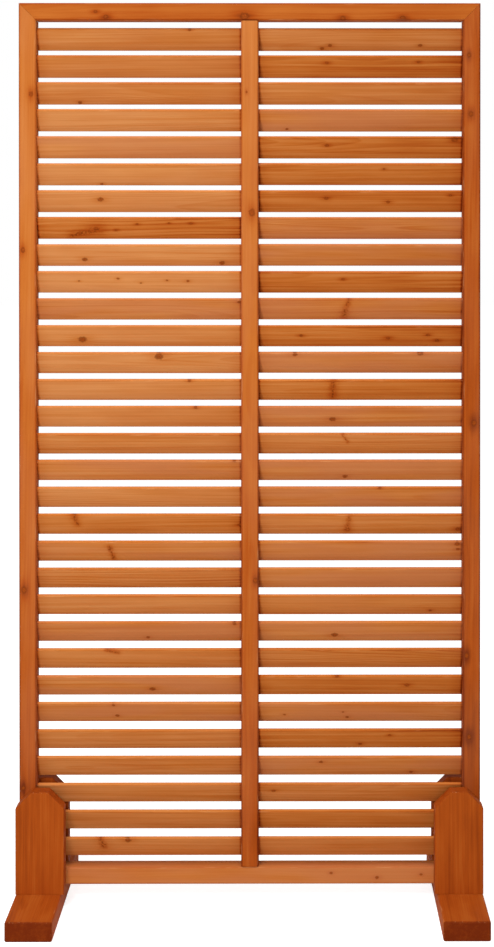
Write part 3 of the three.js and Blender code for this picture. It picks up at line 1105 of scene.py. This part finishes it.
class SCREEN_OT_panel_frame(Operator):
    """Build the mitred stiles and rails and the centre mullion"""

    bl_idname = "garden_screen.panel_frame"
    bl_label = "Panel frame"

    def execute(self, context):
        sizes = context.scene.screen_sizes
        self.studio = context.scene.screen_studio
        for side, sign in SIDES:
            self.stile(sizes, side, sign)
        self.rail(sizes, "bottom", -1)
        self.rail(sizes, "top", 1)
        self.mullion(sizes)
        return {"FINISHED"}

    def stile(self, sizes, side, sign):
        """A stile with a housing for each slat, mitred at both ends."""
        node = f"{side}_stile"
        low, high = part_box(node)
        piece = add_block(f"{node}_timber", low, high)
        round_edges(piece, sizes.frame_edge, sizes.edge_segments, runs_along(UP))
        outer = Vector((high.x if sign > 0 else low.x, PANEL_MIDDLE_Y, 0))
        for level, way in ((low.z, -1), (high.z, 1)):
            corner = Vector((outer.x, outer.y, level))
            cut_end(piece, corner, Vector((-sign, 0, way)))
        inner = low.x if sign > 0 else high.x
        cut_away(piece, housing_cutter(sizes, inner))
        corners = [f"{end}_{side}_corner_screw" for end in ("bottom", "top")]
        drill(sizes, piece, corners)
        smooth(piece)
        self.dress(piece, Board(low, high, UP, ACROSS_PANEL), node, sizes)

    def rail(self, sizes, end, way):
        """A rail, mitred at both ends."""
        node = f"{end}_rail"
        low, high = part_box(node)
        piece = add_block(f"{node}_timber", low, high)
        round_edges(piece, sizes.frame_edge, sizes.edge_segments, runs_along(ACROSS_PANEL))
        level = high.z if way > 0 else low.z
        for x, sign in ((low.x, -1), (high.x, 1)):
            cut_end(piece, Vector((x, PANEL_MIDDLE_Y, level)), Vector((sign, 0, -way)))
        drill(sizes, piece, [f"{end}_mullion_screw"])
        smooth(piece)
        self.dress(piece, Board(low, high, ACROSS_PANEL, UP), node, sizes)

    def mullion(self, sizes):
        """The centre mullion, with housings on both sides."""
        node = "centre_mullion"
        low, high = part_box(node)
        piece = add_block(f"{node}_timber", low, high)
        round_edges(piece, sizes.frame_edge, sizes.edge_segments, runs_along(UP))
        for inner in (low.x, high.x):
            cut_away(piece, housing_cutter(sizes, inner))
        smooth(piece)
        self.dress(piece, Board(low, high, UP, ACROSS_PANEL), node, sizes)

    def dress(self, piece, board, node, sizes):
        """Wood for one member of the frame."""
        grain = Grain(node, *BOARD_STAIN_AND_SHADE[node])
        dress_board(piece, board, grain, sizes.frame_edge, self.studio)
        finish_piece(piece, "frame_wood", [node])


class SCREEN_OT_slats(Operator):
    """Build the tilted slats, a left and a right one in each row"""

    bl_idname = "garden_screen.slats"
    bl_label = "Slats"

    def execute(self, context):
        sizes = context.scene.screen_sizes
        studio = context.scene.screen_studio
        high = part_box(SLAT_ROWS[0])[1]
        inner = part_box("centre_mullion")[1].x - SLAT_HOUSING
        half = Vector(((high.x - inner) / 2, sizes.slat_width / 2, sizes.slat_thickness / 2))
        master = add_block("slat", -half, half)
        round_edges(master, sizes.slat_edge, sizes.edge_segments, runs_along(ACROSS_PANEL))
        smooth(master)
        for number, row in enumerate(SLAT_ROWS, 1):
            for side, sign in SIDES:
                name = f"{side}_slat_{number:02d}"
                grain = slat_grain(name)
                shift = grain.chance.uniform(-sizes.slat_play, sizes.slat_play)
                place = row_middle(row) + Vector((sign * (inner + half.x), 0, shift))
                twist = Matrix.Rotation(grain.chance.uniform(-0.008, 0.008), 4, "X")
                placement = Matrix.Translation(place) @ slat_turn(sizes) @ twist
                board = Board(-half, half, ACROSS_PANEL, Vector((0, 1, 0)), placement)
                piece = place_copy(master, name, Matrix.Identity(4))
                dress_board(piece, board, grain, sizes.slat_edge, studio)
                piece.data.transform(placement)
                finish_piece(piece, "slat_wood", [row])
        bpy.data.objects.remove(master)
        return {"FINISHED"}


class SCREEN_OT_posts(Operator):
    """Build the four posts that clamp the panel"""

    bl_idname = "garden_screen.posts"
    bl_label = "Posts"

    def execute(self, context):
        sizes = context.scene.screen_sizes
        boards = {row: self.board(sizes, row) for row in ("front", "rear")}
        for side, _ in SIDES:
            for row, board in boards.items():
                self.post(sizes, context.scene.screen_studio, board, f"{side}_{row}_post")
        for board in boards.values():
            bpy.data.objects.remove(board)
        return {"FINISHED"}

    def board(self, sizes, row):
        """The left post of one row: both top corners cut off, and all but its foot eased."""
        low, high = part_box(f"left_{row}_post")
        board = add_block(f"{row}_post", low, high)

        def top_side(first, second):
            at_top = min(first.z, second.z) > high.z - AT_LEVEL
            return at_top and runs_along(FORWARD)(first, second)

        def above_foot(first, second):
            return max(first.z, second.z) > low.z + AT_LEVEL

        round_edges(board, sizes.post_chamfer, 1, top_side)
        round_edges(board, sizes.post_edge, sizes.edge_segments, above_foot)
        return board

    def post(self, sizes, studio, board, node):
        """A board in its post's place, drilled if screws go in at its face."""
        low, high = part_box(node)
        side, row, _ = node.split("_")
        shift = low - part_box(f"left_{row}_post")[0]
        piece = place_copy(board, f"{node}_board", Matrix.Translation(shift))
        if row == "rear":
            drill(sizes, piece, [f"{side}_{level}_clamp_screw" for level in ("lower", "upper")])
        smooth(piece)
        # The rear posts' deeper tone is painted shade for their place behind the panel.
        grain = Grain(node, *BOARD_STAIN_AND_SHADE[f"{row}_post"])
        grain.end_stain = POST_END_STAIN
        axes = Board(low, high, UP, ACROSS_PANEL)
        dress_board(piece, axes, grain, sizes.post_edge, studio, eased_ends="far")
        finish_piece(piece, "stand_wood", [node])


class SCREEN_OT_feet(Operator):
    """Build the two foot beams"""

    bl_idname = "garden_screen.feet"
    bl_label = "Feet"

    def execute(self, context):
        sizes = context.scene.screen_sizes
        first_low, first_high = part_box("left_foot")
        beam = add_block("foot", first_low, first_high)
        round_edges(beam, sizes.foot_edge, sizes.edge_segments, lambda first, second: True)
        for side, _ in SIDES:
            node = f"{side}_foot"
            low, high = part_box(node)
            piece = place_copy(beam, f"{node}_beam", Matrix.Translation(low - first_low))
            drill(sizes, piece, [name for name in SCREWS if self.is_under(name, side)])
            smooth(piece)
            axes = Board(low, high, -FORWARD, -ACROSS_PANEL)
            grain = Grain(node, *BOARD_STAIN_AND_SHADE["foot"])
            studio = context.scene.screen_studio
            dress_board(piece, axes, grain, sizes.foot_edge, studio, eased_ends="both")
            finish_piece(piece, "stand_wood", [node])
        bpy.data.objects.remove(beam)
        return {"FINISHED"}

    def is_under(self, name, side):
        """Whether a screw goes up through this side's foot."""
        return name.startswith(side) and name.endswith("foot_screw")


class SCREEN_OT_screws(Operator):
    """Build the countersunk screws with their cross recesses"""

    bl_idname = "garden_screen.screws"
    bl_label = "Screws"

    def execute(self, context):
        sizes = context.scene.screen_sizes
        masters = {}
        for name in SCREWS:
            head, inward, length = screw_head_place(name)
            millimetres = round(length * 1000)
            if millimetres not in masters:
                masters[millimetres] = self.screw(sizes, length)
            placement = Matrix.Translation(head) @ turned_to(-inward)
            piece = place_copy(masters[millimetres], f"{name}_steel", placement)
            finish_piece(piece, "screw_steel", [name])
        for master in masters.values():
            bpy.data.objects.remove(master)
        return {"FINISHED"}

    def screw(self, sizes, length):
        """A screw of one length, its head's face at the origin and its tip below."""
        radius = sizes.screw_head
        deselect()
        bpy.ops.mesh.primitive_cylinder_add(
            vertices=32,
            radius=radius,
            depth=SCREW_HEAD_RIM,
            location=(0, 0, -SCREW_HEAD_RIM / 2),
        )
        piece = bpy.context.active_object
        apply_place(piece)
        edit_underside(piece)
        level = -SCREW_HEAD_RIM
        for next_level, next_radius in (
            (-SCREW_HEAD_DEPTH, SCREW_RADIUS),
            (-length * 0.4, THREAD_RADIUS),
            (TIP_LENGTH - length, THREAD_RADIUS),
            (-length, TIP_RADIUS),
        ):
            narrow_down(level, next_level, next_radius / radius)
            level = next_level
            radius = next_radius
        bpy.ops.object.mode_set(mode="OBJECT")
        cut_away(piece, self.cross_cutter())
        smooth(piece)
        return piece

    def cross_cutter(self):
        """A tapered cross for the driver."""
        arms = []
        for turn in (0, math.pi / 2):
            deselect()
            bpy.ops.mesh.primitive_cube_add(size=1, rotation=(0, 0, turn))
            arm = bpy.context.active_object
            arm.scale = CROSS_ARM
            apply_place(arm)
            edit_underside(arm)
            bpy.ops.transform.resize(
                value=(CROSS_TAPER, CROSS_TAPER, 1), center_override=(0, 0, -CROSS_ARM[2] / 2)
            )
            bpy.ops.object.mode_set(mode="OBJECT")
            arms.append(arm)
        apply_modifier(arms[0], "BOOLEAN", object=arms[1], operation="UNION", solver="EXACT")
        bpy.data.objects.remove(arms[1])
        return arms[0]


# ---- Studio ----


# Each lamp: its name, its place and its size. Its power is a setting.
LAMPS = (
    ("key", (-0.66, -2.3, 1.34), 0.5),
    ("fill", (0.15, -4.7, 0.9), 0.8),
    ("top", (0.0, -1.2, 5.0), 2.0),
)
FLOOR_RADIUS = 30
FLOOR_GLOW = 0.78  # lifts the lit paper to white where the camera sees it


def camera_turn(studio):
    """The camera's turn: level, looking along +Y, then down and to the right."""
    return Euler((math.pi / 2 - studio.camera_pitch, 0, -studio.camera_yaw))


def seen_directly(draw):
    """1 for what the camera sees, also by way of a reflection or through glass."""
    rays = draw.node("ShaderNodeLightPath").outputs
    seen = draw.math("MAXIMUM", rays["Is Camera Ray"], rays["Is Glossy Ray"])
    return draw.math("MAXIMUM", seen, rays["Is Transmission Ray"])


def floor_material(colours):
    """White to the camera, with the object's soft shadow, and plain paper to the light."""
    material = empty_material("studio_paper")
    draw = Sketch(material.node_tree)
    place = draw.node("ShaderNodeTexCoord").outputs["Object"]
    fleck = draw.noise(draw.vector("MULTIPLY", place, (6.0, 6.0, 6.0)), detail=4.0)
    paper = draw.mix(draw.step(fleck, 0.3, 0.7, 0.0, 0.03), colours.floor, (0.76, 0.76, 0.76))
    matt = draw.node("ShaderNodeBsdfDiffuse", {"Color": paper, "Roughness": 0.4}).outputs[0]
    white = {"Color": (1, 1, 1, 1), "Strength": FLOOR_GLOW}
    glow = draw.node("ShaderNodeEmission", white).outputs[0]
    seen = draw.node("ShaderNodeAddShader", {0: matt, 1: glow}).outputs[0]
    share = seen_directly(draw)
    surface = draw.node("ShaderNodeMixShader", {0: share, 1: matt, 2: seen}).outputs[0]
    draw.node("ShaderNodeOutputMaterial", {"Surface": surface})
    return material


def add_lamp(name, place, target, power, size):
    """A square area lamp that looks at a point."""
    deselect()
    bpy.ops.object.light_add(type="AREA", location=place)
    lamp = bpy.context.active_object
    lamp.name = name
    lamp.data.energy = power
    lamp.data.shape = "SQUARE"
    lamp.data.size = size
    away = Vector(place) - Vector(target)
    lamp.rotation_euler = away.to_track_quat("Z", "Y").to_euler()


class SCREEN_OT_stage(Operator):
    """Set up the floor, the surroundings, the lamps and the camera"""

    bl_idname = "garden_screen.stage"
    bl_label = "Stage"

    def execute(self, context):
        scene = context.scene
        studio = scene.screen_studio
        scene.view_settings.view_transform = "Standard"
        deselect()
        bpy.ops.mesh.primitive_circle_add(vertices=96, radius=FLOOR_RADIUS, fill_type="NGON")
        floor = bpy.context.active_object
        floor.name = "studio_floor"
        floor.data.materials.append(floor_material(scene.screen_colours))
        self.surroundings(scene, studio)
        middle = (PANEL_LOW + PANEL_HIGH) / 2
        middle.x = 0
        for name, place, size in LAMPS:
            add_lamp(f"{name}_lamp", place, middle, getattr(studio, f"{name}_power"), size)
        self.camera(scene, studio)
        return {"FINISHED"}

    def surroundings(self, scene, studio):
        """Pale light from all round, seen as white."""
        world = bpy.data.worlds.new("studio_surroundings")
        world.use_nodes = True
        world.node_tree.nodes.clear()
        scene.world = world
        draw = Sketch(world.node_tree)
        white = (1, 1, 1, 1)
        soft = draw.node(
            "ShaderNodeBackground", {"Color": white, "Strength": studio.ambient}
        ).outputs[0]
        seen = draw.node("ShaderNodeBackground", {"Color": white, "Strength": 1.0}).outputs[0]
        share = seen_directly(draw)
        surface = draw.node("ShaderNodeMixShader", {0: share, 1: soft, 2: seen}).outputs[0]
        draw.node("ShaderNodeOutputWorld", {"Surface": surface})

    def camera(self, scene, studio):
        """The photograph's viewpoint."""
        deselect()
        place = studio.camera_place
        bpy.ops.object.camera_add(location=place, rotation=camera_turn(studio))
        camera = bpy.context.active_object
        camera.name = "studio_camera"
        camera.data.sensor_width = SENSOR
        camera.data.lens = studio.lens
        camera.data.shift_x = studio.shift[0]
        camera.data.shift_y = studio.shift[1]
        camera.data.clip_end = 100
        scene.camera = camera


# ---- Sidebar and registration ----


class SCREEN_PT_builder(Panel):
    """Buttons and settings of the privacy screen"""

    bl_idname = "SCREEN_PT_builder"
    bl_label = "Privacy screen"
    bl_space_type = "VIEW_3D"
    bl_region_type = "UI"
    bl_category = "Screen"

    def draw(self, context):
        scene = context.scene
        for step in STEPS:
            self.layout.operator(step.bl_idname)
        for settings in (scene.screen_sizes, scene.screen_colours, scene.screen_studio):
            box = self.layout.box()
            for name in settings.__annotations__:
                box.prop(settings, name)


STEPS = (
    SCREEN_OT_materials,
    SCREEN_OT_panel_frame,
    SCREEN_OT_slats,
    SCREEN_OT_posts,
    SCREEN_OT_feet,
    SCREEN_OT_screws,
    SCREEN_OT_stage,
)
CLASSES = (ScreenSizes, ScreenColours, StudioSettings, *STEPS, SCREEN_PT_builder)


def register():
    for item in CLASSES:
        bpy.utils.register_class(item)
    bpy.types.Scene.screen_sizes = PointerProperty(type=ScreenSizes)
    bpy.types.Scene.screen_colours = PointerProperty(type=ScreenColours)
    bpy.types.Scene.screen_studio = PointerProperty(type=StudioSettings)


def unregister():
    del bpy.types.Scene.screen_studio
    del bpy.types.Scene.screen_colours
    del bpy.types.Scene.screen_sizes
    for item in reversed(CLASSES):
        bpy.utils.unregister_class(item)


def main():
    register()
    bpy.ops.garden_screen.materials()
    bpy.ops.garden_screen.panel_frame()
    bpy.ops.garden_screen.slats()
    bpy.ops.garden_screen.posts()
    bpy.ops.garden_screen.feet()
    bpy.ops.garden_screen.screws()
    bpy.ops.garden_screen.stage()


if __name__ == "__main__":
    main()
